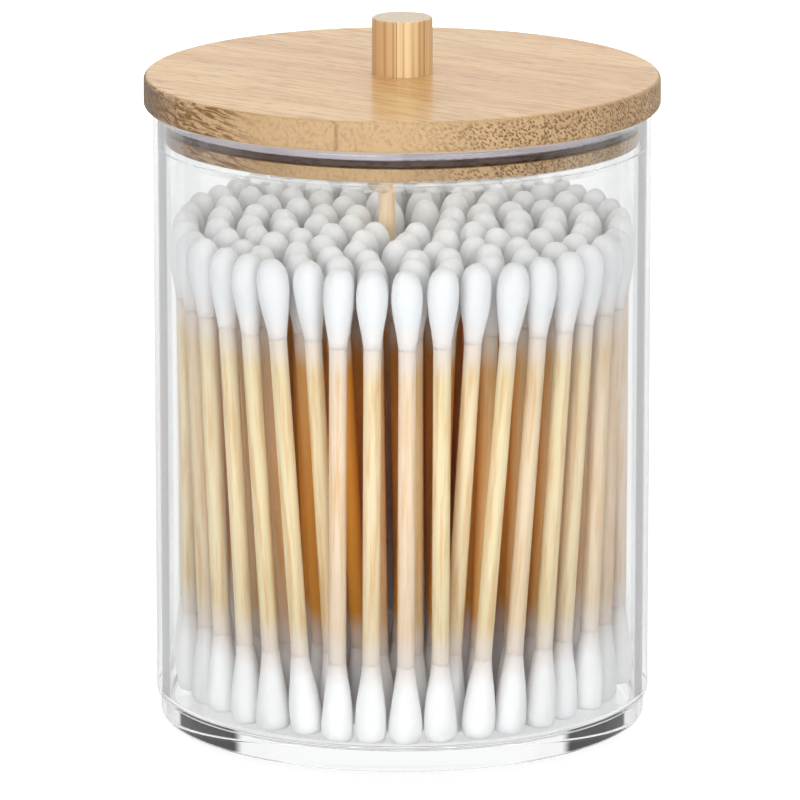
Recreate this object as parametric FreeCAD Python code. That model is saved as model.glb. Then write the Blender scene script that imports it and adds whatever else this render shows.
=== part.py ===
import FreeCAD, Part
import math
import os
import random

# Cotton swab holder: a clear moulded jar with a turned bamboo lid, standing full of
# wooden swabs. All sizes are in millimetres. The origin is the centre of the jar's
# underside, +Z points up and the front faces -Y.

V = FreeCAD.Vector
UP = V(0, 0, 1)

# ---- swabs -------------------------------------------------------------------------
swab_length = 75.0      # over both cotton tips
stick_radius = 1.35
tip_radius = 2.55       # widest part of the wound cotton
tip_length = 13.7       # from the nose to the neck
nose_radius = 1.9       # rounded end of a tip
flank_radius = 4.2      # curve between the nose and the widest part
pressed_flat = 1.2      # a tip that a swab stands on is pressed flat over this radius
pressed_round = 0.8     # and rounded by this much round the flat
neck_wall = 0.2         # cotton left round the stick at the neck
tip_cover = 3.0         # cotton beyond the end of the stick
stick_fit = 0.03        # radial gap between a stick and its bore in the tip
end_fit = 0.1           # gap between a stick's end and the bottom of that bore

# ---- how the swabs stand in the jar ---------------------------------------------------
swab_gap = 0.15         # least gap between neighbouring swabs
wall_gap = 0.15         # least gap between a swab and the jar's wall
floor_gap = 0.1         # gap under a tip that stands on the jar's floor
outer_slack = 1.05      # spacing in the outer ring, over the closest possible
inner_slack = 1.16      # the same in the rings inside it
fan_turn = 0.5          # radians that lower ends turn towards the front and the back
lean_scatter = 0.8      # spread of the swabs' own leans, at their lower ends
most_lean = 6.0         # furthest that one end stands to the side of the other
back_rise = 3.6         # how much higher the pack is wedged at the back
rise_scatter = 0.5      # uneven height from swab to swab
raised_lift = 12.0      # the swab in the middle has lost its upper tip and is pulled up
raised_at = (-2.0, 0.0)
lean_steps = 16         # the leans are taken up a little at a time
settle_rounds = 12      # rounds of pushing apart after each step
last_rounds = 200
crowded_gap = 0.06      # a swab still nearer than this to another is left out
seat_gap = 0.05         # the raised swab is slid this near to those round it
seat_rounds = 4

# ---- jar -------------------------------------------------------------------------------
jar_radius = 39.0
wall = 2.0
floor_thickness = 3.5
head_room = 14.0        # free height over the swabs, below the lid's plug
foot_step = 0.7         # the foot is this much smaller than the wall
foot_round = 0.5
shoulder_round = 0.45   # lower edge of the wall, over the foot
rim_round = 0.6
floor_round = 1.0       # inner corner between wall and floor
mouth_step = 0.4        # the wall is this much thinner round the lid's plug
ledge_drop = 0.6        # from the plug down to the ledge where the wall is full again
ledge_round = 0.15

# ---- lid -------------------------------------------------------------------------------
flange_overhang = 1.4   # the lid reaches this far past the wall
flange_thickness = 5.0
lid_edge_round = 0.8
plug_depth = 5.0
plug_gap = 0.4          # radial gap between plug and wall
plug_edge_round = 0.5

# ---- seal ring, in a groove at the root of the plug --------------------------------------
seal_height = 2.4
seal_gap = 0.08         # radial running gap to the wall
seal_thickness = 1.7
seal_round = 0.5
lip_height = 1.2        # the upper part of the seal, which runs on the wall
lip_reach = 0.5         # how far it stands out past the part below
seal_land = 0.4         # wood left between groove and flange
groove_fit = 0.05

# ---- knob and its screw ---------------------------------------------------------------
knob_radius = 4.75
knob_height = 8.9
knob_edge_round = 0.4
screw_radius = 1.5
screw_head_radius = 3.0
screw_head_height = 1.8
screw_grip = 6.0        # length of thread in the knob
screw_tip_height = 1.5
screw_fit = 0.05
drive_radius = 1.1      # square drive recess in the screw's head
drive_depth = 1.0

# ---- sizes that follow -----------------------------------------------------------------
inner_radius = jar_radius - wall
mouth_radius = inner_radius + mouth_step
foot_radius = jar_radius - foot_step
plug_bottom = floor_thickness + swab_length + head_room
rim_height = plug_bottom + plug_depth
lid_radius = jar_radius + flange_overhang
lid_top = rim_height + flange_thickness
ledge_height = plug_bottom - ledge_drop
plug_radius = mouth_radius - plug_gap
seal_outer = mouth_radius - seal_gap
seal_inner = seal_outer - seal_thickness
seal_top = rim_height - seal_land
seal_bottom = seal_top - seal_height
screw_length = lid_top + screw_grip - plug_bottom

nose_span = swab_length - 2 * nose_radius       # between the centres of the two noses
neck_radius = stick_radius + neck_wall
tip_reach = tip_length - nose_radius            # from the nose's centre to the neck
stand_radius = inner_radius - wall_gap - tip_radius
closest = 2 * tip_radius + swab_gap
nose_floor = floor_thickness + floor_gap + nose_radius


# ---- outline helpers: an outline lies in the XZ plane and is turned about Z ---------------
def line(a, b):
    return Part.LineSegment(V(a[0], 0, a[1]), V(b[0], 0, b[1])).toShape()


def arc(centre, radius, start, end):
    """Arc between two angles, in degrees from +X towards +Z."""
    points = []
    for angle in (start, (start + end) / 2, end):
        turn = math.radians(angle)
        points.append(V(centre[0] + radius * math.cos(turn), 0, centre[1] + radius * math.sin(turn)))
    return Part.Arc(*points).toShape()


def turned(edges):
    """Solid of revolution of a closed outline."""
    return Part.Face(Part.Wire(edges)).revolve(V(0, 0, 0), UP, 360)


def turned_profile(corners):
    """Solid of revolution from corners (x, z, rounding); a rounding of 0 stays sharp."""
    count = len(corners)
    trims = []
    for k, (x, z, rounding) in enumerate(corners):
        here = V(x, 0, z)
        before = V(corners[k - 1][0], 0, corners[k - 1][1]) - here
        after = V(corners[(k + 1) % count][0], 0, corners[(k + 1) % count][1]) - here
        before.normalize()
        after.normalize()
        if rounding == 0:
            trims.append((here, None, here))
            continue
        half = before.getAngle(after) / 2
        cut = rounding / math.tan(half)
        bisector = before + after
        bisector.normalize()
        middle = here + bisector * (rounding / math.sin(half) - rounding)
        trims.append((here + before * cut, middle, here + after * cut))
    edges = []
    for k, (start, middle, end) in enumerate(trims):
        if middle is not None:
            edges.append(Part.Arc(start, middle, end).toShape())
        following = trims[(k + 1) % count][0]
        if end.distanceToPoint(following) > 1e-6:
            edges.append(Part.LineSegment(end, following).toShape())
    return turned(edges)


# ---- jar: one moulded piece with a thick floor that shows as a foot -------------------------
def make_jar():
    return turned_profile([
        (0, 0, 0),
        (foot_radius, 0, foot_round),
        (foot_radius, floor_thickness, 0),
        (jar_radius, floor_thickness, shoulder_round),
        (jar_radius, rim_height, rim_round),
        (mouth_radius, rim_height, rim_round),
        (mouth_radius, ledge_height, ledge_round),
        (inner_radius, ledge_height, ledge_round),
        (inner_radius, floor_thickness, floor_round),
        (0, floor_thickness, 0),
    ])


# ---- lid: a turned disc with a plug, a groove for the seal and a countersunk hole ------------
def make_lid():
    body = turned_profile([
        (0, plug_bottom, 0),
        (plug_radius, plug_bottom, plug_edge_round),
        (plug_radius, seal_bottom - groove_fit, 0),
        (seal_inner - groove_fit, seal_bottom - groove_fit, 0),
        (seal_inner - groove_fit, seal_top + groove_fit, 0),
        (plug_radius, seal_top + groove_fit, 0),
        (plug_radius, rim_height, 0),
        (lid_radius, rim_height, lid_edge_round),
        (lid_radius, lid_top, lid_edge_round),
        (0, lid_top, 0),
    ])
    hole = Part.makeCylinder(screw_radius + screw_fit, plug_depth + flange_thickness, V(0, 0, plug_bottom))
    sink = Part.makeCone(screw_head_radius + screw_fit, screw_radius + screw_fit,
                         screw_head_height, V(0, 0, plug_bottom))
    return body.cut(hole).cut(sink)


def make_seal_ring():
    return turned_profile([
        (seal_inner, seal_bottom, 0),
        (seal_outer - lip_reach, seal_bottom, seal_round),
        (seal_outer - lip_reach, seal_top - lip_height, 0),
        (seal_outer, seal_top - lip_height, seal_round),
        (seal_outer, seal_top, seal_round),
        (seal_inner, seal_top, 0),
    ])


# ---- knob: a plain turned dowel, held by a screw through the lid ---------------------------
def make_knob():
    top = lid_top + knob_height
    body = turned_profile([
        (0, lid_top, 0),
        (knob_radius, lid_top, 0),
        (knob_radius, top, knob_edge_round),
        (0, top, 0),
    ])
    pilot = Part.makeCylinder(screw_radius + screw_fit, screw_grip + screw_fit, V(0, 0, lid_top))
    return body.cut(pilot)


def make_knob_screw():
    end = plug_bottom + screw_length
    body = turned_profile([
        (0, plug_bottom, 0),
        (screw_head_radius, plug_bottom, 0),
        (screw_radius, plug_bottom + screw_head_height, 0),
        (screw_radius, end - screw_tip_height, 0),
        (0, end, 0),
    ])
    side = 2 * drive_radius
    drive = Part.makeBox(side, side, drive_depth, V(-drive_radius, -drive_radius, plug_bottom))
    return body.cut(drive)


# ---- swab: a stick with a wound cotton tip on each end --------------------------------------
def make_tip(flat, rounding):
    """Cotton tip standing on its end at the origin, bored at the neck for the stick."""
    flank_offset = flank_radius - tip_radius
    widest_at = rounding + math.sqrt((flank_radius - rounding) ** 2 - (flat + flank_offset) ** 2)
    joined_at = math.degrees(math.atan2(rounding - widest_at, flat + flank_offset))
    drop = tip_radius - neck_radius
    body_length = tip_length - widest_at
    body_radius = (drop ** 2 + body_length ** 2) / (2 * drop)
    body_end = math.degrees(math.asin(body_length / body_radius))
    bore = stick_radius + stick_fit
    outline = [
        arc((flat, rounding), rounding, -90, joined_at),
        arc((-flank_offset, widest_at), flank_radius, joined_at, 0),
        arc((tip_radius - body_radius, widest_at), body_radius, 0, body_end),
        line((neck_radius, tip_length), (bore, tip_length)),
        line((bore, tip_length), (bore, tip_cover)),
        line((bore, tip_cover), (0, tip_cover)),
        line((0, tip_cover), (0, 0)),
    ]
    if flat > 0:
        outline.append(line((0, 0), (flat, 0)))
    return turned(outline)


def make_stick():
    start = tip_cover + end_fit
    return Part.makeCylinder(stick_radius, swab_length - 2 * start, V(0, 0, start))


class Swab:
    """A swab's place: the centres of its two noses, seen from above, and its lift."""

    def __init__(self, ring, x, y, raised=False):
        self.ring = ring
        self.low = [x, y]
        self.top = [x, y]
        self.drift = (0.0, 0.0)
        self.lift = raised_lift if raised else back_rise * (0.5 + 0.5 * y / stand_radius)
        self.raised = raised

    def levels(self):
        """Heights at which the swab's ends, necks and middle are kept clear."""
        neck = 0.99 * tip_reach
        along = (0, neck, nose_span / 2, nose_span - neck, nose_span)
        return [self.lift + step for step in along]

    def girth(self, height):
        """Radius to keep clear at a height over the standing noses, or None past an end."""
        along = height - self.lift
        if along < -nose_radius or along > nose_span + nose_radius:
            return None
        if along < tip_reach:
            return tip_radius
        if along > nose_span - tip_reach and not self.raised:
            return tip_radius
        return stick_radius

    def push(self, share, dx, dy):
        """Move the swab by (dx, dy) at a share of its length, each end by its part."""
        rest = 1 - share
        scale = 1 / (rest * rest + share * share)
        self.low[0] += dx * rest * scale
        self.low[1] += dy * rest * scale
        self.top[0] += dx * share * scale
        self.top[1] += dy * share * scale

    def hold(self):
        """Keep both ends inside the wall and the lean within its limit."""
        for end in (self.low, self.top):
            out = math.hypot(end[0], end[1])
            if out > stand_radius:
                end[0] *= stand_radius / out
                end[1] *= stand_radius / out
        dx = self.top[0] - self.low[0]
        dy = self.top[1] - self.low[1]
        lean = math.hypot(dx, dy)
        if lean > most_lean:
            back = (lean - most_lean) / lean / 2
            self.low[0] += dx * back
            self.low[1] += dy * back
            self.top[0] -= dx * back
            self.top[1] -= dy * back

    def placed(self, shape, upper=False):
        """The shape, drawn for an upright swab on the origin, brought to its place."""
        dx = self.top[0] - self.low[0]
        dy = self.top[1] - self.low[1]
        dip = pressed_flat * math.hypot(dx, dy) / nose_span
        foot = V(self.low[0], self.low[1], nose_floor + self.lift + dip)
        along = V(dx, dy, math.sqrt(nose_span ** 2 - dx * dx - dy * dy))
        along.normalize()
        if upper:
            foot = foot + along * nose_span
            along = along * -1
        copy = shape.copy()
        copy.Placement = FreeCAD.Placement(foot - along * nose_radius, FreeCAD.Rotation(UP, along))
        return copy


def stand_in_rings(chance):
    """Upright swabs in rings round a raised one, each ring turned by chance."""
    swabs = [Swab(0, raised_at[0], raised_at[1], raised=True)]
    ring = 1
    radius = stand_radius
    while radius > closest:
        pitch = closest * (outer_slack if ring == 1 else inner_slack)
        count = int(math.pi / math.asin(pitch / 2 / radius))
        turn = chance.uniform(0, 2 * math.pi)
        for k in range(count):
            angle = turn + 2 * math.pi * k / count
            swabs.append(Swab(ring, radius * math.cos(angle), radius * math.sin(angle)))
        ring += 1
        radius -= closest
    return swabs


def choose_leans(swabs, chance):
    """Each lower end drifts round towards the front or the back, and a little by chance."""
    for swab in swabs:
        radius = math.hypot(swab.top[0], swab.top[1])
        angle = math.atan2(swab.top[1], swab.top[0])
        angle += fan_turn * math.sin(2 * angle) * radius / stand_radius
        dx = radius * math.cos(angle) - swab.top[0] + chance.gauss(0, lean_scatter)
        dy = radius * math.sin(angle) - swab.top[1] + chance.gauss(0, lean_scatter)
        if not swab.raised:
            swab.drift = (dx, dy)
            swab.lift += chance.uniform(0, rise_scatter)


def between(one, other, height):
    """Gap between two swabs at a height, how far along each it is, and the way across."""
    girth, other_girth = one.girth(height), other.girth(height)
    if girth is None or other_girth is None:
        return None
    a = (height - one.lift) / nose_span
    b = (height - other.lift) / nose_span
    dx = (1 - a) * one.low[0] + a * one.top[0] - (1 - b) * other.low[0] - b * other.top[0]
    dy = (1 - a) * one.low[1] + a * one.top[1] - (1 - b) * other.low[1] - b * other.top[1]
    away = math.hypot(dx, dy)
    return away - girth - other_girth, a, b, dx / away, dy / away


def settle(swabs, pairs, rounds):
    """Push swabs apart wherever two come too close, until they all stand free."""
    for _ in range(int(rounds)):
        for swab in swabs:
            swab.hold()
        free = True
        for one, other, levels in pairs:
            for height in levels:
                found = between(one, other, height)
                if found is None or found[0] > swab_gap:
                    continue
                free = False
                gap, a, b, ux, uy = found
                move = (1.2 * swab_gap - gap) / 2
                one.push(a, ux * move, uy * move)
                other.push(b, -ux * move, -uy * move)
        if free:
            return


def without_crowded(swabs, pairs):
    """The swabs that stand free; one that found no room is left out of the jar."""
    crowded = set()
    for one, other, levels in pairs:
        if one in crowded or other in crowded:
            continue
        for height in levels:
            found = between(one, other, height)
            if found is not None and found[0] < crowded_gap:
                crowded.add(one)
    return [swab for swab in swabs if swab not in crowded]


def seat_raised(one, others, stick, tip, pressed_tip):
    """Slide the raised swab sideways until it stands against its nearest neighbours."""
    near = [swab for swab in others if math.dist(one.low, swab.low) < 2.5 * closest]
    pieces = [swab.placed(stick) for swab in near] + [swab.placed(pressed_tip) for swab in near]
    around = Part.makeCompound(pieces)
    for _ in range(seat_rounds):
        body = Part.makeCompound([one.placed(stick), one.placed(tip)])
        gap, points, _ = body.distToShape(around)
        way = points[0][1] - points[0][0]
        away = math.hypot(way.x, way.y)
        move = (gap - seat_gap) / away
        for end in (one.low, one.top):
            end[0] += way.x * move
            end[1] += way.y * move


def settled_swabs():
    chance = random.Random(21)
    swabs = stand_in_rings(chance)
    choose_leans(swabs, chance)
    reach = 2.5 * closest
    pairs = []
    for k, one in enumerate(swabs):
        for other in swabs[:k]:
            if math.hypot(one.top[0] - other.top[0], one.top[1] - other.top[1]) < reach:
                pairs.append((one, other, one.levels() + other.levels()))
    for _ in range(lean_steps):
        for swab in swabs:
            swab.low[0] += swab.drift[0] / lean_steps
            swab.low[1] += swab.drift[1] / lean_steps
        settle(swabs, pairs, settle_rounds)
    settle(swabs, pairs, last_rounds)
    return without_crowded(swabs, pairs)


def save(name, shape):
    shape.exportStep(os.path.join("parts", name + ".step"))


os.makedirs("parts", exist_ok=True)
save("jar", make_jar())
save("lid", make_lid())
save("seal_ring", make_seal_ring())
save("knob", make_knob())
save("knob_screw", make_knob_screw())

swabs = settled_swabs()
stick = make_stick()
tip = make_tip(0, nose_radius)
pressed_tip = make_tip(pressed_flat, pressed_round)
seat_raised(swabs[0], swabs[1:], stick, tip, pressed_tip)
for ring in sorted({swab.ring for swab in swabs}):
    row = [swab for swab in swabs if swab.ring == ring]
    prefix = "ring_%d" % ring if ring else "raised_swab"
    save(prefix + "_sticks", Part.makeCompound([swab.placed(stick) for swab in row]))
    lower = [swab.placed(pressed_tip if ring else tip) for swab in row]
    save(prefix + "_lower_tips", Part.makeCompound(lower))
    capped = [swab.placed(tip, upper=True) for swab in row if not swab.raised]
    if capped:
        save(prefix + "_upper_tips", Part.makeCompound(capped))
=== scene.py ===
import math
import random

import bmesh
import bpy
from bpy.props import FloatProperty, FloatVectorProperty, PointerProperty
from mathutils import Matrix, Vector, noise


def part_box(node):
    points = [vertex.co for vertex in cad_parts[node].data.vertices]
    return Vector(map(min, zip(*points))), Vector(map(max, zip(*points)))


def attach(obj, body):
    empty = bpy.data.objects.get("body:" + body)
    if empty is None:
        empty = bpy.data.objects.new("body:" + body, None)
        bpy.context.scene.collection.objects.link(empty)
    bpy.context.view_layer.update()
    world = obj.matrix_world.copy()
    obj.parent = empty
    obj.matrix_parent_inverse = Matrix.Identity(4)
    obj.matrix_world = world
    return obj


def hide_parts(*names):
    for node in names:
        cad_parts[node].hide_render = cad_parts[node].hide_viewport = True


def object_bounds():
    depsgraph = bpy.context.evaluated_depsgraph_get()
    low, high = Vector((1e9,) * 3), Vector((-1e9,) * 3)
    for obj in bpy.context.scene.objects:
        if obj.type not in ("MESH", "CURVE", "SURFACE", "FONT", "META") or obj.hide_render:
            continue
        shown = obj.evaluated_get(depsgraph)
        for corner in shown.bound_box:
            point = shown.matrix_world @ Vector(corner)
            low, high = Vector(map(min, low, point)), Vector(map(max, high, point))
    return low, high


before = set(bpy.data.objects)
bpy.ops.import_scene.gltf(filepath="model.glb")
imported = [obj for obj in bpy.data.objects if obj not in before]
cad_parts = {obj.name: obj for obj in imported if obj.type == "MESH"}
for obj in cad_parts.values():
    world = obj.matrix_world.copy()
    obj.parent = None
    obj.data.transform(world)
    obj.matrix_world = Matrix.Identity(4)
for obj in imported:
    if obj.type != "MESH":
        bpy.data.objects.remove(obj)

CAD_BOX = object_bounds()

bl_info = {
    "name": "Cotton Swab Holder",
    "version": (1, 0, 0),
    "blender": (4, 5, 0),
    "location": "View3D > Sidebar > Swab Holder",
    "description": "Dresses a clear jar of cotton swabs with its bamboo lid",
    "category": "Object",
}

RINGS = sorted(name[:-len("_sticks")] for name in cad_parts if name.endswith("_sticks"))
# Points closer than this, in metres, are one.
MERGE = 1e-6


# ---- settings --------------------------------------------------------------------------------
def colour(name, text, value):
    """A colour setting, in linear light."""
    return FloatVectorProperty(
        name=name, description=text, subtype="COLOR", size=3, min=0, max=1, default=value
    )


def length(name, text, value):
    """A length setting, in metres."""
    return FloatProperty(name=name, description=text, unit="LENGTH", default=value)


class JarLook(bpy.types.PropertyGroup):
    wall: length("Wall", "Thickness of the wall", 0.0020)
    floor: length("Floor", "Thickness of the floor, which shows as the foot", 0.0035)
    foot_step: length("Foot step", "How much smaller the foot is than the wall", 0.0007)
    foot_round: length("Foot round", "Rounding of the foot's lower edge", 0.0005)
    shoulder_round: length("Shoulder round", "Rounding of the wall's lower edge", 0.00045)
    rim_round: length("Rim round", "Rounding of the rim", 0.0006)
    floor_round: length("Inner round", "Rounding between floor and wall", 0.0010)
    mouth_step: length("Mouth step", "How much thinner the wall is round the plug", 0.0004)
    ledge: length("Ledge", "Height of the ledge under the plug", 0.0919)
    ledge_round: length("Ledge round", "Rounding of the ledge", 0.00015)
    tint: colour("Tint", "Colour of light that passes a wall", (0.985, 0.992, 0.995))
    ior: FloatProperty(name="IOR", description="How strongly the plastic bends light", default=1.49)
    polish: FloatProperty(name="Roughness", description="Roughness of the polished wall", default=0.0)
    trapped: FloatProperty(
        name="Trapped light",
        description="Slant past which light stays inside the plastic, 0 square to it and 1 along it",
        default=0.26,
    )
    edge_light: FloatProperty(
        name="Edge", description="How far the very edge of the wall shows the background", default=0.6
    )
    # Painted highlight: the pale band on the seal's lip, where its rounding catches light.
    seal_highlight: colour("Seal lip", "Silicone of the seal's lip", (0.55, 0.50, 0.54))
    seal_dark: colour("Seal", "Silicone below the lip", (0.065, 0.042, 0.032))
    seal_lip: FloatProperty(
        name="Lip height", description="Height of the seal's lip", unit="LENGTH", default=0.0012
    )


class BambooLook(bpy.types.PropertyGroup):
    pale: colour("Pale", "Palest strips on the faces", (0.87, 0.565, 0.245))
    warm: colour("Warm", "Warmer strips between them", (0.76, 0.44, 0.18))
    side: colour("Edge", "Cut edge of the boards", (0.60, 0.405, 0.222))
    # Left edge: the flange's darker left end, partly end grain and partly painted shade on that side.
    shade: colour("Left edge", "Edge where the fibres end in darker wood", (0.19, 0.115, 0.07))
    line: colour("Lines", "Fibres that show on the faces", (0.60, 0.30, 0.09))
    # Underside: painted paler than the bamboo, so that it throws more light back on the cotton below.
    inner: colour("Underside", "Bare wood under the lid", (0.90, 0.83, 0.72))
    dark: colour("Pores", "Fibre bundles cut end on", (0.13, 0.062, 0.026))
    streak: colour("Streaks", "Darker fibre bundles seen side on", (0.34, 0.18, 0.07))
    knob_pale: colour("Knob", "Pale side of the knob", (0.83, 0.62, 0.35))
    knob_side: colour("Knob's dark side", "Darker side of the knob", (0.64, 0.41, 0.20))
    knob_top: colour("Knob's top", "Fibres of the knob cut end on", (0.80, 0.68, 0.52))
    grain_turn: FloatProperty(
        name="Grain direction",
        description="Angle of the fibres from left to right, seen from above",
        subtype="ANGLE",
        default=math.radians(-37),
    )
    slat_width: FloatProperty(
        name="Slat width", description="Width of the slats glued side by side",
        unit="LENGTH", default=0.0230,
    )
    slat_shift: FloatProperty(
        name="Slat shift", description="Where the first seam lies, in slats", default=0.62
    )


class SwabLook(bpy.types.PropertyGroup):
    cotton: colour("Cotton", "Wound cotton", (0.90, 0.90, 0.90))
    # Painted tint: cotton high in the jar is made cooler to offset the warm light that the lid's
    # underside throws on it.
    painted_cool_tint: colour("Upper cotton", "Tint of the cotton close under the lid", (0.965, 0.985, 1.0))
    neck: colour("Neck", "Thinnest cotton over the wood", (0.93, 0.86, 0.82))
    blush: colour("Veil", "Wood under the first threads of cotton", (0.95, 0.86, 0.80))
    wood: colour("Stick", "Fresh birch of a stick", (0.96, 0.82, 0.52))
    pink: colour("Pink stick", "Birch that leans to pink", (0.96, 0.77, 0.58))
    grain: colour("Stick grain", "Darker grain of a stick", (0.84, 0.55, 0.25))
    # Painted shade: sticks deep in the bundle, where little light reaches, turn this deeper orange.
    inner_shade: colour("Inner sticks", "Warmer wood in the middle of the bundle", (0.88, 0.38, 0.04))
    tip_length: FloatProperty(
        name="Tip length", description="From the nose to the neck", unit="LENGTH", default=0.0137
    )
    tip_radius: FloatProperty(
        name="Tip radius", description="At the widest wound cotton", unit="LENGTH", default=0.00255
    )
    tip_fill: FloatProperty(
        name="Tip fill", description="Makes up for what softening takes off a tip", default=1.10
    )
    tip_lumps: FloatProperty(name="Lumps", description="Unevenness of the winding", default=0.25)
    tip_sway: FloatProperty(
        name="Sway", description="How far a nose may lie off its stick's axis", unit="LENGTH",
        default=0.00035,
    )
    tip_cover: FloatProperty(
        name="Cotton past the stick", description="From a stick's end to the nose",
        unit="LENGTH", default=0.0031,
    )
    stick_radius: FloatProperty(
        name="Stick radius", description="Radius of a stick", unit="LENGTH", default=0.00135
    )
    stick_length: FloatProperty(
        name="Stick length", description="Wood inside both tips included", unit="LENGTH", default=0.0688
    )
    bundle_radius: FloatProperty(
        name="Bundle radius", description="Of all the sticks together", unit="LENGTH", default=0.0345
    )
    blush_length: FloatProperty(
        name="Neck fade", description="How far the cotton's tint runs along the wood",
        unit="LENGTH", default=0.005,
    )


class StageLook(bpy.types.PropertyGroup):
    floor: colour("Floor", "Pale floor", (0.80, 0.80, 0.80))
    floor_gap: FloatProperty(
        name="Floor gap", description="Air under the foot", unit="LENGTH", default=0.0002
    )
    floor_glow: FloatProperty(
        name="Floor glow", description="Light added to the floor as the camera sees it", default=0.45
    )
    key: FloatProperty(name="Key lamp", description="Power of the front lamp, in watts", default=1.9)
    top: FloatProperty(name="Top lamp", description="Power of the lamp above, in watts", default=1.0)
    back: FloatProperty(
        name="Back lamps", description="Power of each lamp behind, in watts", default=2.0
    )
    under_lid: FloatProperty(
        name="Under the lid",
        description="Light that the lid's underside throws back on the cotton, in watts",
        default=0.0034,
    )
    sky: FloatProperty(name="Sky", description="Strength of the even light", default=0.62)
    band: FloatProperty(
        name="Low light", description="Strength of the even light near the horizon", default=2.4
    )
    screen_turn: FloatProperty(
        name="Screens", description="Where the dark screens stand in each eighth of the round",
        subtype="ANGLE", default=math.radians(27.5),
    )
    screen_half: FloatProperty(
        name="Screen half width", description="Half the angle that a screen fills",
        subtype="ANGLE", default=math.radians(5),
    )
    screen_edge: FloatProperty(
        name="Soft edge", description="Width of a screen's soft edge",
        subtype="ANGLE", default=math.radians(4),
    )
    screen_level: FloatProperty(name="Screen level", description="Light from a screen", default=0.42)
    foot_turn: FloatProperty(
        name="Foot's dark corner", description="Where the foot begins to look into a dark corner",
        subtype="ANGLE", default=math.radians(33),
    )
    foot_level: FloatProperty(
        name="Foot's dark level", description="Light that the foot gets from a dark corner", default=0.07
    )
    front_level: FloatProperty(
        name="Front gloss", description="Light that gloss sees low on the camera's side", default=0.15
    )
    low_gloss: FloatProperty(
        name="Low gloss", description="Light that gloss sees from below the horizon", default=0.55
    )


# ---- node helpers ----------------------------------------------------------------------------
class Nodes:
    """Builds a material's node tree with short calls."""

    def __init__(self, tree):
        self.tree = tree
        self.tree.nodes.clear()

    def add(self, kind, **settings):
        node = self.tree.nodes.new(kind)
        for name, value in settings.items():
            setattr(node, name, value)
        return node

    def link(self, source, target):
        self.tree.links.new(source, target)

    def put(self, target, value):
        """Link an output to an input, or set the input to a plain value."""
        if isinstance(value, bpy.types.NodeSocket):
            self.link(value, target)
        else:
            target.default_value = value

    def place(self):
        """Object coordinates as they are, in metres."""
        return self.add("ShaderNodeTexCoord").outputs["Object"]

    def stretched(self, vector, by):
        scaled = self.add("ShaderNodeVectorMath", operation="MULTIPLY")
        self.link(vector, scaled.inputs[0])
        scaled.inputs[1].default_value = by
        return scaled.outputs[0]

    def point(self, stretch, turn=0.0, shift=(0, 0, 0), tilt=(0, 0)):
        """Object coordinates, turned about Z, tilted about X and Y, then stretched."""
        turned = self.add("ShaderNodeMapping", vector_type="TEXTURE")
        turned.inputs["Rotation"].default_value = (*tilt, turn)
        turned.inputs["Location"].default_value = shift
        self.link(self.place(), turned.inputs["Vector"])
        return self.stretched(turned.outputs[0], stretch)

    def split(self, vector):
        """X, Y and Z of a vector."""
        node = self.add("ShaderNodeSeparateXYZ")
        self.link(vector, node.inputs[0])
        return node.outputs["X"], node.outputs["Y"], node.outputs["Z"]

    def attribute(self, name):
        return self.add("ShaderNodeAttribute", attribute_name=name).outputs["Fac"]

    def noise(self, vector, scale=1.0, detail=3.0, rough=0.5, distort=0.0):
        node = self.add("ShaderNodeTexNoise")
        self.link(vector, node.inputs["Vector"])
        node.inputs["Scale"].default_value = scale
        node.inputs["Detail"].default_value = detail
        node.inputs["Roughness"].default_value = rough
        node.inputs["Distortion"].default_value = distort
        return node.outputs["Fac"]

    def cells(self, vector, scale=1.0, spread=1.0):
        node = self.add("ShaderNodeTexVoronoi")
        self.link(vector, node.inputs["Vector"])
        node.inputs["Scale"].default_value = scale
        node.inputs["Randomness"].default_value = spread
        return node.outputs["Distance"]

    def fade(self, value, low, high, start=0.0, end=1.0):
        """Clamped map from low..high to start..end."""
        node = self.add("ShaderNodeMapRange", interpolation_type="SMOOTHSTEP")
        self.put(node.inputs["Value"], value)
        node.inputs["From Min"].default_value = low
        node.inputs["From Max"].default_value = high
        node.inputs["To Min"].default_value = start
        node.inputs["To Max"].default_value = end
        return node.outputs["Result"]

    def math(self, operation, one, two):
        node = self.add("ShaderNodeMath", operation=operation)
        self.put(node.inputs[0], one)
        self.put(node.inputs[1], two)
        return node.outputs[0]

    def both(self, one, two):
        """Product of two numbers, as of two shares that both have to hold."""
        return self.math("MULTIPLY", one, two)

    def size(self, value):
        """A number without its sign."""
        return self.math("ABSOLUTE", value, 0.0)

    def off(self, value, centre):
        """Distance of a number from a centre."""
        return self.size(self.math("SUBTRACT", value, centre))

    def rest(self, share):
        """What a share leaves of one."""
        return self.math("SUBTRACT", 1.0, share)

    def choose(self, share, one, two):
        """The first number where share is 1, and the second where it is 0."""
        return self.math("ADD", self.both(share, one), self.both(self.rest(share), two))

    def mix(self, share, one, two, blend="MIX"):
        """Mix of two colours."""
        node = self.add("ShaderNodeMix", data_type="RGBA", blend_type=blend)
        self.put(node.inputs["Factor"], share)
        for target, value in ((node.inputs["A"], one), (node.inputs["B"], two)):
            self.put(target, value if isinstance(value, bpy.types.NodeSocket) else (*value, 1))
        return node.outputs["Result"]

    def bump(self, height, distance, strength=1.0):
        node = self.add("ShaderNodeBump")
        self.link(height, node.inputs["Height"])
        node.inputs["Distance"].default_value = distance
        node.inputs["Strength"].default_value = strength
        return node.outputs["Normal"]

    def shader(self, **inputs):
        """Principled shader; an input's name has underscores for its spaces."""
        node = self.add("ShaderNodeBsdfPrincipled")
        for name, value in inputs.items():
            self.put(node.inputs[name.replace("_", " ")], value)
        return node.outputs["BSDF"]

    def output(self, surface):
        out = self.add("ShaderNodeOutputMaterial")
        self.link(surface, out.inputs["Surface"])


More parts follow.
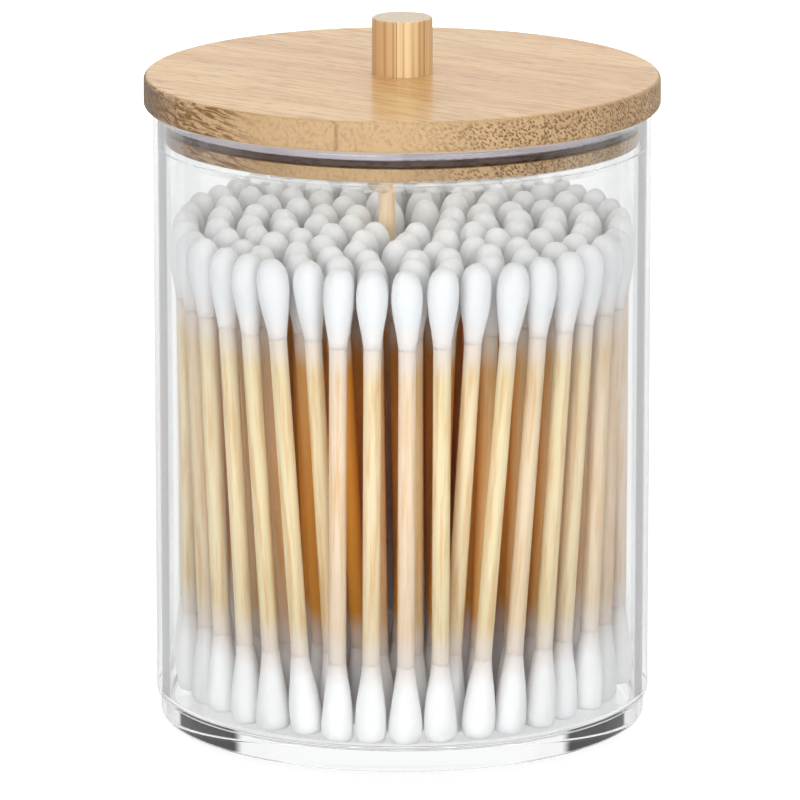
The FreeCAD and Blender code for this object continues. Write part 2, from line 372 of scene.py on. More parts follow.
def new_material(name):
    """A material and the short calls that build its nodes."""
    material = bpy.data.materials.new(name)
    material.use_nodes = True
    return material, Nodes(material.node_tree)


def toned(tint, by):
    """A colour made lighter or darker by a factor."""
    return [by * part for part in tint]


def dress(name, material):
    """Give a CAD node its finished material."""
    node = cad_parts[name]
    node.data.materials.clear()
    node.data.materials.append(material)
    return node


# ---- materials -------------------------------------------------------------------------------
# A ray is dropped, and shows black, after its fourth reflection: past this depth it is let out.
LAST_REFLECTION = 3.5
# How far a face slants where its edge begins and ends to show the background: 1 is edge on.
EDGE_SLANT = (0.785, 0.83)
# Size of a normal's Z from an upright face to one that lies too flat to have such an edge.
UPRIGHT = (0.2, 0.5)
# The ledge is softened by LEDGE_SHARE within LEDGE_REACH of its height, and not at the jar's sides.
LEDGE_SHARE = 0.6
LEDGE_REACH = (0.0004, 0.0007)
LEDGE_SIDES = (0.022, 0.034)


def clear_plastic(look):
    """Clear moulded plastic, which lets some light straight through: at its outermost edge, at
    the ledge, and where light would otherwise stay trapped inside it."""
    material, n = new_material("clear_plastic")
    surface = n.shader(
        Base_Color=(*look.tint, 1), Roughness=look.polish, IOR=look.ior, Transmission_Weight=1.0
    )
    pane = n.add("ShaderNodeBsdfTransparent")
    pane.inputs["Color"].default_value = (*look.tint, 1)
    weight = n.add("ShaderNodeLayerWeight")
    weight.inputs["Blend"].default_value = 0.5
    slant = weight.outputs["Facing"]
    rise = n.split(n.add("ShaderNodeNewGeometry").outputs["True Normal"])[2]
    edge = n.fade(slant, *EDGE_SLANT, 0.0, look.edge_light)
    edge = n.both(edge, n.fade(n.size(rise), *UPRIGHT, 1.0, 0.0))
    across, _, height = n.split(n.place())
    near = n.fade(n.off(height, look.ledge), *LEDGE_REACH, 1.0, 0.0)
    ledge = n.both(near, n.fade(n.size(across), *LEDGE_SIDES, LEDGE_SHARE, 0.0))
    path = n.add("ShaderNodeLightPath").outputs
    last = n.math("GREATER_THAN", path["Glossy Depth"], LAST_REFLECTION)
    let_out = n.both(last, n.math("GREATER_THAN", slant, look.trapped))
    straight = n.math("MAXIMUM", n.math("MAXIMUM", edge, ledge), let_out)
    pick = n.add("ShaderNodeMixShader")
    n.link(n.math("MAXIMUM", path["Is Shadow Ray"], straight), pick.inputs[0])
    n.link(surface, pick.inputs[1])
    n.link(pane.outputs[0], pick.inputs[2])
    n.output(pick.outputs[0])
    return material


# Distance from a slat's middle, in slats, where its seam begins and is full.
SEAM = (0.4925, 0.4975)


def slats(n, look):
    """Tone of each glued slat, and the thin seams between slats."""
    slat = n.split(n.point((1, 1 / look.slat_width, 1), look.grain_turn))[1]
    slat = n.math("ADD", slat, look.slat_shift)
    chance = n.add("ShaderNodeTexWhiteNoise", noise_dimensions="1D")
    n.link(n.math("FLOOR", slat, 0.0), chance.inputs["W"])
    return chance.outputs["Value"], n.fade(n.off(n.math("FRACT", slat, 0.0), 0.5), *SEAM)


def board_bamboo(look):
    """Pressed bamboo board: fibres lie flat, so its round edge shows them side on and end on."""
    material, n = new_material("board_bamboo")
    turn = look.grain_turn
    tone, seam = slats(n, look)
    bands = n.noise(n.point((10, 130, 90), turn), detail=2.0)
    fibres = n.noise(n.point((60, 1300, 1300), turn), detail=3.0, rough=0.6)
    dashes = n.noise(n.point((120, 1100, 1100), turn, (0.3, 0.1, 0.0)), detail=2.0, rough=0.6,
                     distort=0.4)
    fine = n.noise(n.point((260, 2200, 2200), turn, (0.1, 0.2, 0.0)), detail=1.0)
    flame = n.noise(n.point((150, 900, 1900), turn, (0.0, 0.0, 0.07), (0.0, 0.14)), detail=3.0,
                    rough=0.6, distort=1.0)
    pores = n.cells(n.point((130, 3300, 1700), turn, tilt=(0.75, 0.0)))
    specks = n.noise(n.point((1700, 2600, 1400), turn), detail=1.0)
    normal = n.add("ShaderNodeNewGeometry").outputs["Normal"]
    rise = n.split(normal)[2]
    edge = n.fade(n.size(rise), 0.80, 0.99, 1.0, 0.0)
    under = n.fade(rise, -0.9, -0.6, 1.0, 0.0)
    fibre_way = n.add("ShaderNodeVectorMath", operation="DOT_PRODUCT")
    n.link(normal, fibre_way.inputs[0])
    fibre_way.inputs[1].default_value = (math.cos(turn), math.sin(turn), 0)
    along = fibre_way.outputs["Value"]

    # The faces: pale and warm bands, with fibres, dashes and fine dark lines along them.
    mixed = n.math("ADD", n.both(bands, 0.8), n.both(tone, 0.2))
    face = n.mix(n.fade(mixed, 0.36, 0.62), look.pale, look.warm)
    face = n.mix(n.fade(fibres, 0.45, 0.68, 0.0, 0.5), face, look.line)
    dash = n.both(n.fade(dashes, 0.54, 0.66, 0.0, 0.9), n.fade(bands, 0.35, 0.6, 0.4, 1.0))
    face = n.mix(dash, face, look.line)
    face = n.mix(n.fade(fine, 0.60, 0.70, 0.0, 0.5), face, look.streak)

    # The cut edge: dots where fibres end, flames where they meet it at a slant, and a darker left end
    # that is partly end grain and partly painted shade.
    rim = n.mix(n.fade(mixed, 0.35, 0.7), look.side, toned(look.side, 0.88))
    rim = n.mix(n.fade(specks, 0.45, 0.70, 0.0, 0.35), rim, look.streak)
    dots = n.fade(pores, 0.20, 0.60, 1.0, 0.0)
    rim = n.mix(n.both(dots, n.fade(n.size(along), 0.55, 0.9, 0.0, 0.9)), rim, look.dark)
    window = n.both(n.fade(along, -0.12, 0.12, 1.0, 0.0), n.fade(along, -1.0, -0.75, 0.3, 1.0))
    rim = n.mix(n.both(n.fade(flame, 0.46, 0.56), window), rim, toned(look.streak, 0.7))
    # Painted shade on the edge's left end, mixed with its darker end grain.
    rim = n.mix(n.fade(along, -0.60, -0.30, 0.8, 0.0), rim, look.shade)
    colours = n.mix(edge, face, rim)
    colours = n.mix(n.both(seam, n.fade(edge, 0.0, 1.0, 0.0, 0.35)), colours, look.dark)
    # The underside is painted paler, to throw more light back on the cotton.
    colours = n.mix(n.both(under, 0.8), colours, look.inner)
    relief = n.math("SUBTRACT", fibres, n.both(n.both(dots, edge), 0.5))
    surface = n.shader(
        Base_Color=colours,
        Roughness=n.fade(fibres, 0.3, 0.7, 0.42, 0.58),
        Normal=n.bump(relief, 0.00006, 0.5),
        Specular_IOR_Level=0.15,
        Coat_Weight=n.fade(edge, 0.0, 1.0, 0.6, 0.12),
        Coat_Roughness=0.2,
        Coat_IOR=1.45,
    )
    n.output(surface)
    return material


# Dark fibre lines down the knob's front: how far right of its middle, and how strong.
KNOB_LINES = ((-0.0009, 0.75), (0.0026, 0.55), (0.0034, 0.6))
KNOB_LINE_WIDTH = (0.00005, 0.00017)


def dowel_bamboo(look):
    """Turned dowel: fibres stand upright and show as dots on the top."""
    material, n = new_material("dowel_bamboo")
    strips = n.noise(n.point((330, 330, 3), 0.4, (0.0, 0.0021, 0.0)), detail=1.0)
    fibres = n.noise(n.point((1500, 1500, 12)), detail=3.0, rough=0.6)
    lines = n.noise(n.point((1900, 1900, 5), 0.0, (0.02, 0.0, 0.0)), detail=1.0)
    across = n.split(n.place())[0]
    top = n.fade(n.split(n.add("ShaderNodeNewGeometry").outputs["Normal"])[2], 0.5, 0.9)
    left = n.fade(across, -0.0014, -0.0009, 1.0, 0.0)
    shade = n.fade(n.math("ADD", strips, n.both(left, 0.25)), 0.46, 0.66)
    face = n.mix(shade, look.knob_pale, look.knob_side)
    face = n.mix(n.fade(fibres, 0.42, 0.66, 0.0, 0.55), face, look.knob_side)
    face = n.mix(n.fade(lines, 0.52, 0.64, 0.0, 0.5), face, look.streak)
    for line, strength in KNOB_LINES:
        face = n.mix(n.fade(n.off(across, line), *KNOB_LINE_WIDTH, strength, 0.0), face, look.streak)
    end = n.mix(n.fade(fibres, 0.40, 0.70, 0.0, 0.35), look.knob_top, look.knob_side)
    surface = n.shader(
        Base_Color=n.mix(top, face, end),
        Roughness=n.fade(fibres, 0.3, 0.7, 0.45, 0.6),
        Normal=n.bump(fibres, 0.00006, 0.5),
        Specular_IOR_Level=0.15,
        Coat_Weight=0.2,
        Coat_Roughness=0.25,
    )
    n.output(surface)
    return material


def silicone(look):
    """Seal silicone: the lip that runs on the wall has a painted highlight, a pale band above the dark
    part below it.
    """
    material, n = new_material("seal_silicone")
    haze = n.noise(n.point((300, 300, 1500)), detail=3.0)
    height = n.split(n.place())[2]
    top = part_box("seal_ring")[1].z
    # Painted highlight on the lip: the upper part of the seal turns pale.
    lip = n.fade(height, top - look.seal_lip * 1.05, top - look.seal_lip * 0.75)
    body = n.mix(n.fade(haze, 0.35, 0.65), look.seal_dark, toned(look.seal_dark, 1.5))
    surface = n.shader(
        Base_Color=n.mix(lip, body, look.seal_highlight),
        Roughness=n.fade(haze, 0.3, 0.7, 0.22, 0.38),
        Normal=n.bump(haze, 0.00005, 0.4),
        IOR=1.41,
    )
    n.output(surface)
    return material


def turned_steel():
    """Steel of the screw, with fine rings from turning."""
    material, n = new_material("turned_steel")
    rings = n.noise(n.point((300, 300, 4000)), detail=4.0)
    surface = n.shader(
        Base_Color=n.mix(rings, (0.50, 0.50, 0.52), (0.66, 0.66, 0.68)),
        Metallic=1.0,
        Roughness=n.fade(rings, 0.3, 0.7, 0.25, 0.45),
        Normal=n.bump(rings, 0.00003, 0.5),
    )
    n.output(surface)
    return material


# Height between which the cotton turns from the lower tips' tints, necks painted darker as shade, to the
# upper tips', painted cooler against the lid's warm light.
UPPER_COTTON = (0.04, 0.06)


def wound_cotton(look):
    """Soft white cotton that thins out over the wood at the neck."""
    material, n = new_material("wound_cotton")
    along = n.attribute("along")
    tone = n.attribute("tone")
    fluff = n.noise(n.point((1400, 1400, 1400)), detail=5.0, rough=0.65)
    lumps = n.noise(n.point((420, 420, 260)), detail=2.0)
    edge = n.math("ADD", along, n.both(n.math("SUBTRACT", fluff, 0.5), 0.15))
    white = n.mix(n.fade(tone, 0.0, 1.0, 0.0, 0.5), look.cotton, toned(look.cotton, 0.93))
    high = n.fade(n.split(n.place())[2], *UPPER_COTTON)
    # Painted tint: upper cotton is cooled to offset the lid's warm reflected light.
    white = n.mix(high, white, n.mix(1.0, white, look.painted_cool_tint, "MULTIPLY"))
    # Painted shade: the lower tips' necks are darker than the upper ones'.
    neck = n.mix(high, toned(look.neck, 0.86), look.neck)
    colours = n.mix(n.fade(edge, 0.58, 0.92, 0.0, 1.0), white, neck)
    height = n.math("ADD", n.both(fluff, 0.35), lumps)
    surface = n.shader(
        Base_Color=colours,
        Roughness=1.0,
        Normal=n.bump(height, 0.00055, 0.5),
        Subsurface_Weight=0.8,
        Subsurface_Radius=(1.0, 0.98, 0.95),
        Subsurface_Scale=0.0030,
        Sheen_Weight=0.2,
        Sheen_Roughness=0.6,
        Specular_IOR_Level=0.1,
    )
    n.output(surface)
    return material


def birch(look):
    """Pale birch with upright grain; tones differ, and sticks further in the bundle are painted a deeper
    orange as shade.
    """
    material, n = new_material("birch_stick")
    tone = n.attribute("tone")
    along = n.attribute("along")
    bare = n.attribute("bare")
    wrap = n.add("ShaderNodeUVMap", uv_map="wrap").outputs[0]
    grain = n.noise(n.stretched(wrap, (9, 60, 1)), detail=4.0, rough=0.6)
    fine = n.noise(n.point((1600, 1600, 60)), detail=3.0, rough=0.6)
    pale = n.mix(n.fade(tone, 0.35, 0.75), look.wood, look.pink)
    body = n.mix(n.fade(grain, 0.42, 0.68, 0.0, 0.8), pale, look.grain)
    body = n.mix(n.fade(fine, 0.5, 0.8, 0.0, 0.3), body, look.grain)
    radius = n.add("ShaderNodeVectorMath", operation="LENGTH")
    n.link(n.point((1, 1, 0)), radius.inputs[0])
    bundle = look.bundle_radius
    # Painted shade: sticks further in the bundle turn a deeper orange.
    inner = n.fade(radius.outputs["Value"], bundle * 0.80, bundle * 0.93, 1.0, 0.0)
    body = n.mix(n.both(inner, n.rest(bare)), body, look.inner_shade)
    neck = 0.5 - (look.tip_length - look.tip_cover) / look.stick_length
    veil = look.blush_length / look.stick_length
    near = n.fade(n.off(along, 0.5), neck - veil, neck, 0.0, 0.75)
    wound = n.fade(n.both(along, bare), 0.5, 0.6, 1.0, 0.0)
    body = n.mix(n.both(near, wound), body, look.blush)
    surface = n.shader(
        Base_Color=body,
        Roughness=n.fade(fine, 0.3, 0.7, 0.55, 0.7),
        Normal=n.bump(fine, 0.00005, 0.5),
        Specular_IOR_Level=0.3,
    )
    n.output(surface)
    return material


# ---- places of the swabs ---------------------------------------------------------------------
def loose_parts(mesh):
    """Vertex groups of the separate solids in a mesh."""
    bm = bmesh.new()
    bm.from_mesh(mesh)
    bmesh.ops.remove_doubles(bm, verts=bm.verts, dist=MERGE)
    bm.verts.ensure_lookup_table()
    seen = set()
    parts = []
    for start in bm.verts:
        if start.index in seen:
            continue
        seen.add(start.index)
        part = []
        stack = [start]
        while stack:
            vert = stack.pop()
            part.append(vert.co.copy())
            for edge in vert.link_edges:
                other = edge.other_vert(vert)
                if other.index not in seen:
                    seen.add(other.index)
                    stack.append(other)
        parts.append(part)
    bm.free()
    return parts


def stick_ends(ring):
    """Centres of the lower and upper end of each stick in a ring, in a steady order."""
    ends = []
    for part in loose_parts(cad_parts[ring + "_sticks"].data):
        middle = sum(co.z for co in part) / len(part)
        low = [co for co in part if co.z < middle]
        high = [co for co in part if co.z >= middle]
        ends.append((sum(low, Vector()) / len(low), sum(high, Vector()) / len(high)))
    ends.sort(key=lambda pair: round(math.atan2(pair[0].y, pair[0].x), 4))
    return ends


def stood(start, direction, turn):
    """Matrix that stands a shape drawn along +Z on a point, along a direction."""
    spin = Matrix.Rotation(turn, 4, "Z")
    return Matrix.Translation(start) @ direction.to_track_quat("Z", "Y").to_matrix().to_4x4() @ spin


# ---- shapes ----------------------------------------------------------------------------------
def spun(bm, outline, steps):
    """Turn an outline of (radius, height) points about Z; ends on the axis close the shape."""
    verts = [bm.verts.new((radius, 0, height)) for radius, height in outline]
    edges = [bm.edges.new(pair) for pair in zip(verts, verts[1:])]
    bmesh.ops.spin(
        bm, geom=verts + edges, cent=(0, 0, 0), axis=(0, 0, 1), dvec=(0, 0, 0),
        angle=2 * math.pi, steps=steps, use_merge=True, use_duplicate=False,
    )
    bmesh.ops.remove_doubles(bm, verts=bm.verts, dist=MERGE)


def rounded(corners, steps=6, hold=0.00003):
    """Outline through (radius, height, rounding) corners, with a close row beside each arc."""
    outline = []
    for k, (radius, height, rounding) in enumerate(corners):
        here = Vector((radius, height))
        if not rounding:
            outline.append(tuple(here))
            continue
        back = (Vector(corners[k - 1][:2]) - here).normalized()
        ahead = (Vector(corners[k + 1][:2]) - here).normalized()
        centre = here + (back + ahead) * rounding
        outline.append(tuple(here + back * (rounding + hold)))
        for step in range(steps + 1):
            angle = math.pi / 2 * step / steps
            outline.append(tuple(centre - ahead * rounding * math.cos(angle)
                                 - back * rounding * math.sin(angle)))
        outline.append(tuple(here + ahead * (rounding + hold)))
    return outline


def new_piece(name, bm, material, body, stands_for):
    """An object made of a finished bmesh, which rides on a body in place of a CAD node."""
    bmesh.ops.recalc_face_normals(bm, faces=bm.faces)
    mesh = bpy.data.meshes.new(name)
    bm.to_mesh(mesh)
    bm.free()
    mesh.shade_smooth()
    mesh.materials.append(material)
    piece = bpy.data.objects.new(name, mesh)
    bpy.context.scene.collection.objects.link(piece)
    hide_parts(stands_for)
    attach(piece, body)
    return piece


TIP_STEPS = 8
STICK_STEPS = 14
# Lumps of the winding per metre, and the share of a tip's length at which its neck closes.
LUMP_SCALE = 340
NECK_CLOSE = 0.995
# Outline of a tip from its nose to its neck: share of its length, then of its radius.
ROUND_END = ((0.0, 0.0), (0.025, 0.46), (0.11, 0.84), (0.28, 1.0), (0.47, 0.93), (0.66, 0.75),
             (0.82, 0.59), (0.92, 0.535), (1.0, 0.49))
PRESSED_END = ((0.0, 0.0), (0.0, 0.66), (0.03, 0.90), (0.13, 1.02), (0.34, 0.97), (0.56, 0.81),
               (0.79, 0.60), (0.91, 0.535), (1.0, 0.49))


def add_tip(bm, look, chance, place, tone, rows):
    """One wound tip with its own lumps, standing on its end before it is placed."""
    full = look.tip_radius * look.tip_fill
    outline = [(full * wide, look.tip_length * far) for far, wide in rows]
    outline.append((0.0, look.tip_length * NECK_CLOSE))
    piece = bmesh.new()
    spun(piece, outline, TIP_STEPS)
    seed = Vector((chance.uniform(0, 50), chance.uniform(0, 50), chance.uniform(0, 50)))
    reach = look.tip_sway
    sway = (chance.uniform(-reach, reach), chance.uniform(-reach, reach))
    for vert in piece.verts:
        share = vert.co.z / look.tip_length
        lump = noise.noise(vert.co * LUMP_SCALE + seed) * look.tip_lumps * (1 - share)
        vert.co.x = vert.co.x * (1 + lump) + sway[0] * (1 - share) ** 2
        vert.co.y = vert.co.y * (1 + lump) + sway[1] * (1 - share) ** 2
    along = piece.verts.layers.float.new("along")
    shade = piece.verts.layers.float.new("tone")
    for vert in piece.verts:
        vert[along] = vert.co.z / look.tip_length
        vert[shade] = tone
    piece.transform(place)
    join(bm, piece)


def add_stick(bm, look, chance, start, end, tone, bare):
    """One stick, its grain wrapped round it by its own UV map; bare is 1 if its top has no tip."""
    length = (end - start).length
    piece = bmesh.new()
    outline = [(0, 0), (look.stick_radius, 0), (look.stick_radius, length), (0, length)]
    spun(piece, outline, STICK_STEPS)
    shade = piece.verts.layers.float.new("tone")
    along = piece.verts.layers.float.new("along")
    upper = piece.verts.layers.float.new("bare")
    for vert in piece.verts:
        vert[shade] = tone
        vert[along] = vert.co.z / length
        vert[upper] = bare
    wrap = piece.loops.layers.uv.new("wrap")
    shift = (chance.uniform(0, 40), chance.uniform(0, 40))
    for face in piece.faces:
        middle = face.calc_center_median()
        turn = math.atan2(middle.y, middle.x)
        for loop in face.loops:
            at = math.atan2(loop.vert.co.y, loop.vert.co.x)
            at += math.tau * round((turn - at) / math.tau)
            loop[wrap].uv = (at / math.tau + shift[0], loop.vert.co.z + shift[1])
    way = (end - start).normalized()
    piece.transform(stood(start, way, 0.0))
    join(bm, piece)


def join(bm, piece):
    """Move a small bmesh into a larger one."""
    mesh = bpy.data.meshes.new("part")
    piece.to_mesh(mesh)
    piece.free()
    bm.from_mesh(mesh)
    bpy.data.meshes.remove(mesh)


def soften(piece, levels):
    """Round a piece's coarse mesh."""
    subdivision = piece.modifiers.new("Soften", "SUBSURF")
    subdivision.levels = levels
    subdivision.render_levels = levels


# ---- stage -----------------------------------------------------------------------------------
# From the holder to the floor's sides.
FLOOR_REACH = 6.0


def make_floor(look):
    """A wide floor that clear surfaces don't show, with some glow for the camera alone."""
    bm = bmesh.new()
    bmesh.ops.create_grid(bm, x_segments=1, y_segments=1, size=FLOOR_REACH)
    bmesh.ops.translate(bm, verts=bm.verts, vec=(0, 0, -look.floor_gap))
    mesh = bpy.data.meshes.new("floor")
    bm.to_mesh(mesh)
    bm.free()
    floor = bpy.data.objects.new("floor", mesh)
    bpy.context.scene.collection.objects.link(floor)
    material, n = new_material("pale_floor")
    plain = n.add("ShaderNodeBsdfDiffuse")
    plain.inputs["Color"].default_value = (*look.floor, 1)
    glow = n.add("ShaderNodeEmission")
    path = n.add("ShaderNodeLightPath").outputs
    n.link(n.both(path["Is Camera Ray"], look.floor_glow), glow.inputs["Strength"])
    both = n.add("ShaderNodeAddShader")
    n.link(plain.outputs[0], both.inputs[0])
    n.link(glow.outputs[0], both.inputs[1])
    n.output(both.outputs[0])
    mesh.materials.append(material)
    floor.visible_glossy = False
    floor.visible_transmission = False


# The world's light changes with the way a ray goes. These are parts of a way of length 1 along
# X, Y and Z, where a change begins and ends.
STEEP = (0.5, 0.7)
HORIZON = (-0.03, 0.06)
FRONT = (-0.5, 0.1)
LEVEL = (-0.12, 0.0)
LOW_BAND = (0.15, 0.45)
SIDEWAYS = (0.35, 0.9)
# Share of the even light from straight left and right.
SIDE_SHARE = 0.25
# The dark screens and corners repeat, mirrored, in every eighth of the round.
EIGHTH = math.radians(45)
CORNER_EDGE = math.radians(3)
# Counts are compared with half numbers, so that more than ONCE is once or more. A ray that has
# passed two surfaces at most, in five steps or more, has turned about inside the foot.
ONCE = 0.5
FOOT_PASSES = 2.5
FOOT_STEPS = 4.5


def make_sky(look):
    """Even light; glass sees a white room with eight narrow dark screens round the holder."""
    world = bpy.data.worlds.new("soft_sky")
    bpy.context.scene.world = world
    world.use_nodes = True
    n = Nodes(world.node_tree)
    across, ahead, up = n.split(n.add("ShaderNodeTexCoord").outputs["Generated"])
    eighth = n.math("PINGPONG", n.math("ARCTAN2", across, ahead), EIGHTH)
    path = n.add("ShaderNodeLightPath").outputs

    # What the foot sees: dark corners, but none high above or far below.
    corner = n.fade(eighth, look.foot_turn - CORNER_EDGE, look.foot_turn, 1.0, look.foot_level)
    corner = n.math("MAXIMUM", corner, n.fade(n.size(up), *STEEP))

    # What mirrored rays see: less light from below, and least from the camera's side there. The
    # few that are let out of the plastic past their last reflection see what the foot sees.
    front = n.fade(ahead, *FRONT, look.front_level, 1.0)
    front = n.math("MAXIMUM", front, n.fade(up, *LEVEL))
    gloss = n.both(n.fade(up, *HORIZON, look.low_gloss, 1.0), front)
    last = n.math("GREATER_THAN", path["Glossy Depth"], LAST_REFLECTION)
    gloss = n.choose(last, corner, gloss)

    # What rays through the plastic see: the screens, or what the foot sees after many steps.
    half = look.screen_half
    through = n.fade(
        n.off(eighth, look.screen_turn), half, half + look.screen_edge, look.screen_level, 1.0
    )
    few_passes = n.math("LESS_THAN", path["Transmission Depth"], FOOT_PASSES)
    turned = n.both(few_passes, n.math("GREATER_THAN", path["Glossy Depth"], ONCE))
    through = n.both(through, n.math("MAXIMUM", front, n.rest(turned)))
    foot = n.both(few_passes, n.math("GREATER_THAN", path["Ray Depth"], FOOT_STEPS))
    through = n.choose(foot, corner, through)

    # What everything else is lit by: more light near the horizon, less from the sides.
    even = n.fade(n.size(up), *LOW_BAND, look.band, look.sky)
    even = n.both(even, n.fade(n.size(across), *SIDEWAYS, 1.0, SIDE_SHARE))

    first = n.math("LESS_THAN", path["Diffuse Depth"], ONCE)
    glass = n.both(path["Is Transmission Ray"], first)
    shine = n.both(n.both(path["Is Glossy Ray"], first), n.rest(glass))
    seen = n.math("ADD", n.both(glass, through), n.both(shine, gloss))
    others = n.rest(n.math("ADD", glass, shine))
    lit = n.math("ADD", seen, n.both(others, even))
    sky = n.add("ShaderNodeBackground")
    n.link(n.math("MAXIMUM", lit, path["Is Camera Ray"]), sky.inputs["Strength"])
    sky.inputs["Color"].default_value = (1, 1, 1, 1)
    out = n.add("ShaderNodeOutputWorld")
    n.link(sky.outputs[0], out.inputs["Surface"])


# Air between the plug and the lamp under it.
LID_LAMP_GAP = 0.0008
# Each lamp: its place and width, the setting with its power and the share of it, and whether
# clear and polished surfaces mirror it.
LAMPS = {
    "key_lamp": ((-0.36, -0.80, 0.25), 0.45, "key", 1.0, True),
    "fill_lamp": ((0.40, -0.78, 0.25), 0.45, "key", 0.8, True),
    "top_lamp": ((0.0, 0.05, 0.9), 0.6, "top", 1.0, True),
    "back_lamp_left": ((-0.15, 0.85, 0.17), 0.30, "back", 1.0, False),
    "back_lamp_right": ((0.15, 0.85, 0.17), 0.30, "back", 1.0, False),
    "lid_lamp": ((0.0, 0.0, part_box("lid")[0].z - LID_LAMP_GAP), 0.066, "under_lid", 1.0, False),
}


def add_lamp(name, place, target, width, power, shines):
    """A soft round lamp that points at a target; only what it lights shows it."""
    light = bpy.data.lights.new(name, "AREA")
    light.shape = "DISK"
    light.size = width
    light.energy = power
    lamp = bpy.data.objects.new(name, light)
    lamp.location = place
    lamp.rotation_mode = "QUATERNION"
    lamp.rotation_quaternion = (target - Vector(place)).to_track_quat("-Z", "Y")
    lamp.visible_camera = False
    lamp.visible_transmission = False
    lamp.visible_glossy = shines
    bpy.context.scene.collection.objects.link(lamp)


CAMERA_PLACE = (0, -1.1, 0.3109)
CAMERA_TILT = math.radians(76.65)
CAMERA_SHIFT = (-0.0028, 0.0008)
FOCAL_LENGTH = 322.4
SENSOR_WIDTH = 36


def add_camera(context):
    """A long lens a little above the lid."""
    lens = bpy.data.cameras.new("camera")
    lens.lens = FOCAL_LENGTH
    lens.sensor_width = SENSOR_WIDTH
    lens.shift_x, lens.shift_y = CAMERA_SHIFT
    lens.clip_start = 0.05
    lens.clip_end = 50
    camera = bpy.data.objects.new("camera", lens)
    camera.location = CAMERA_PLACE
    camera.rotation_euler = (CAMERA_TILT, 0, 0)
    context.scene.collection.objects.link(camera)
    context.scene.camera = camera
    context.scene.view_settings.view_transform = "Standard"


# ---- operators -------------------------------------------------------------------------------
JAR_STEPS = 192
# Edges of the jar that turn more than this stay sharp.
SHARP = math.radians(40)
# Start of every random draw, so that each run gives the same swabs.
SEED = 5


class HOLDER_OT_jar(bpy.types.Operator):
    """Turns the clear jar with its foot, ledge and rounded rim"""

    bl_idname = "holder.jar"
    bl_label = "Jar"

    def execute(self, context):
        look = context.scene.holder_jar
        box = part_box("jar")
        outer, rim = box[1].x, box[1].z
        inner, foot = outer - look.wall, outer - look.foot_step
        mouth = inner + look.mouth_step
        corners = (
            (0, 0, 0),
            (foot, 0, look.foot_round),
            (foot, look.floor, 0),
            (outer, look.floor, look.shoulder_round),
            (outer, rim, look.rim_round),
            (mouth, rim, look.rim_round),
            (mouth, look.ledge, look.ledge_round),
            (inner, look.ledge, look.ledge_round),
            (inner, look.floor, look.floor_round),
            (0, look.floor, 0),
        )
        bm = bmesh.new()
        spun(bm, rounded(corners), JAR_STEPS)
        jar = new_piece("clear_jar", bm, clear_plastic(look), "jar_body", "jar")
        jar.data.set_sharp_from_angle(angle=SHARP)
        return {"FINISHED"}


class HOLDER_OT_lid(bpy.types.Operator):
    """Finishes the lid in bamboo board"""

    bl_idname = "holder.lid"
    bl_label = "Lid"

    def execute(self, context):
        dress("lid", board_bamboo(context.scene.holder_bamboo))
        return {"FINISHED"}


class HOLDER_OT_knob(bpy.types.Operator):
    """Finishes the knob in turned bamboo and its screw in steel"""

    bl_idname = "holder.knob"
    bl_label = "Knob and screw"

    def execute(self, context):
        dress("knob", dowel_bamboo(context.scene.holder_bamboo))
        dress("knob_screw", turned_steel())
        return {"FINISHED"}


class HOLDER_OT_seal(bpy.types.Operator):
    """Finishes the seal ring in dark silicone"""

    bl_idname = "holder.seal"
    bl_label = "Seal ring"

    def execute(self, context):
        dress("seal_ring", silicone(context.scene.holder_jar))
        return {"FINISHED"}


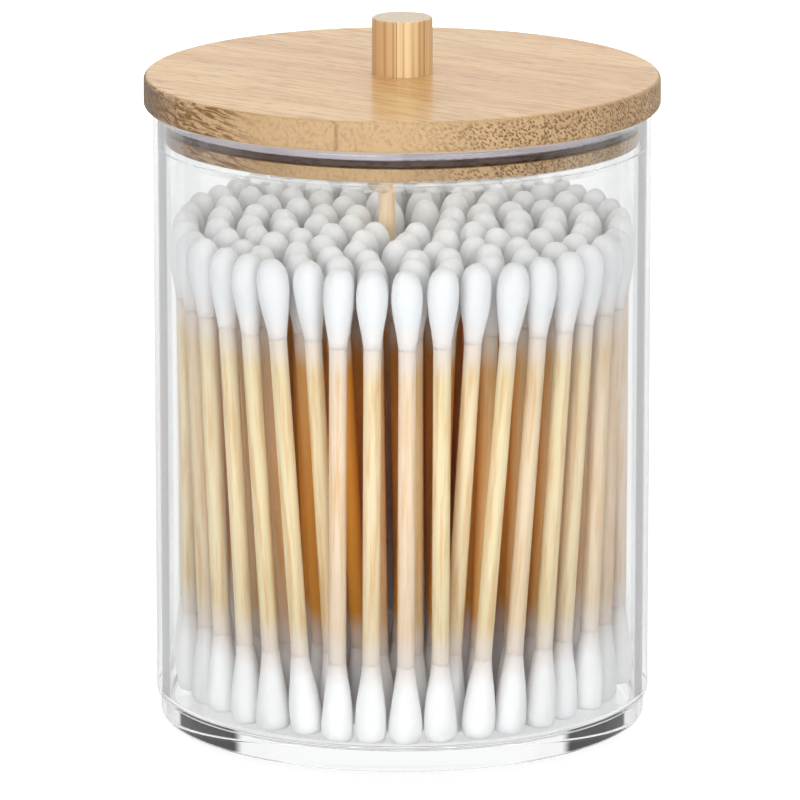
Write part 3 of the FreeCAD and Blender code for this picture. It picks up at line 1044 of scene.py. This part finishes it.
class HOLDER_OT_swabs(bpy.types.Operator):
    """Winds the cotton tips and splits the sticks, each swab with its own tone"""

    bl_idname = "holder.swabs"
    bl_label = "Cotton swabs"

    def execute(self, context):
        look = context.scene.holder_swab
        chance = random.Random(SEED)
        cotton = wound_cotton(look)
        wood = birch(look)
        for ring in RINGS:
            lower, upper, sticks = bmesh.new(), bmesh.new(), bmesh.new()
            has_tops = ring + "_upper_tips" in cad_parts
            foot_rows = PRESSED_END if has_tops else ROUND_END
            for start, end in stick_ends(ring):
                way = (end - start).normalized()
                add_stick(sticks, look, chance, start, end, chance.random(), 0.0 if has_tops else 1.0)
                base = stood(start - way * look.tip_cover, way, chance.uniform(0, math.tau))
                add_tip(lower, look, chance, base, chance.random(), foot_rows)
                crown = stood(end + way * look.tip_cover, -way, chance.uniform(0, math.tau))
                add_tip(upper, look, chance, crown, chance.random(), ROUND_END)
            new_piece(ring + "_birch", sticks, wood, "jar_body", ring + "_sticks")
            soften(new_piece(ring + "_low_cotton", lower, cotton, "jar_body",
                             ring + "_lower_tips"), 1)
            if has_tops:
                soften(new_piece(ring + "_top_cotton", upper, cotton, "jar_body",
                                 ring + "_upper_tips"), 1)
            else:
                upper.free()
        return {"FINISHED"}


class HOLDER_OT_stage(bpy.types.Operator):
    """Sets up the pale floor, the soft lamps and the camera"""

    bl_idname = "holder.stage"
    bl_label = "Stage"

    def execute(self, context):
        look = context.scene.holder_stage
        make_floor(look)
        make_sky(look)
        middle = (CAD_BOX[0] + CAD_BOX[1]) / 2
        for name, (place, width, setting, share, shines) in LAMPS.items():
            add_lamp(name, place, middle, width, getattr(look, setting) * share, shines)
        add_camera(context)
        return {"FINISHED"}


class HOLDER_PT_panel(bpy.types.Panel):
    """Lists the pieces of the holder"""

    bl_idname = "HOLDER_PT_panel"
    bl_label = "Cotton Swab Holder"
    bl_space_type = "VIEW_3D"
    bl_region_type = "UI"
    bl_category = "Swab Holder"

    def draw(self, context):
        for operator in OPERATORS:
            self.layout.operator(operator.bl_idname)
        for group in GROUPS:
            settings = getattr(context.scene, group)
            box = self.layout.box()
            for name in settings.bl_rna.properties.keys():
                if name not in ("rna_type", "name"):
                    box.prop(settings, name)


OPERATORS = (HOLDER_OT_jar, HOLDER_OT_lid, HOLDER_OT_seal, HOLDER_OT_knob, HOLDER_OT_swabs,
             HOLDER_OT_stage)
GROUPS = {"holder_jar": JarLook, "holder_bamboo": BambooLook, "holder_swab": SwabLook,
          "holder_stage": StageLook}


def register():
    for cls in (*GROUPS.values(), *OPERATORS, HOLDER_PT_panel):
        bpy.utils.register_class(cls)
    for name, group in GROUPS.items():
        setattr(bpy.types.Scene, name, PointerProperty(type=group))


def unregister():
    for name in GROUPS:
        delattr(bpy.types.Scene, name)
    for cls in reversed((*GROUPS.values(), *OPERATORS, HOLDER_PT_panel)):
        bpy.utils.unregister_class(cls)


def main():
    register()
    bpy.ops.holder.jar()
    bpy.ops.holder.lid()
    bpy.ops.holder.seal()
    bpy.ops.holder.knob()
    bpy.ops.holder.swabs()
    bpy.ops.holder.stage()


if __name__ == "__main__":
    main()
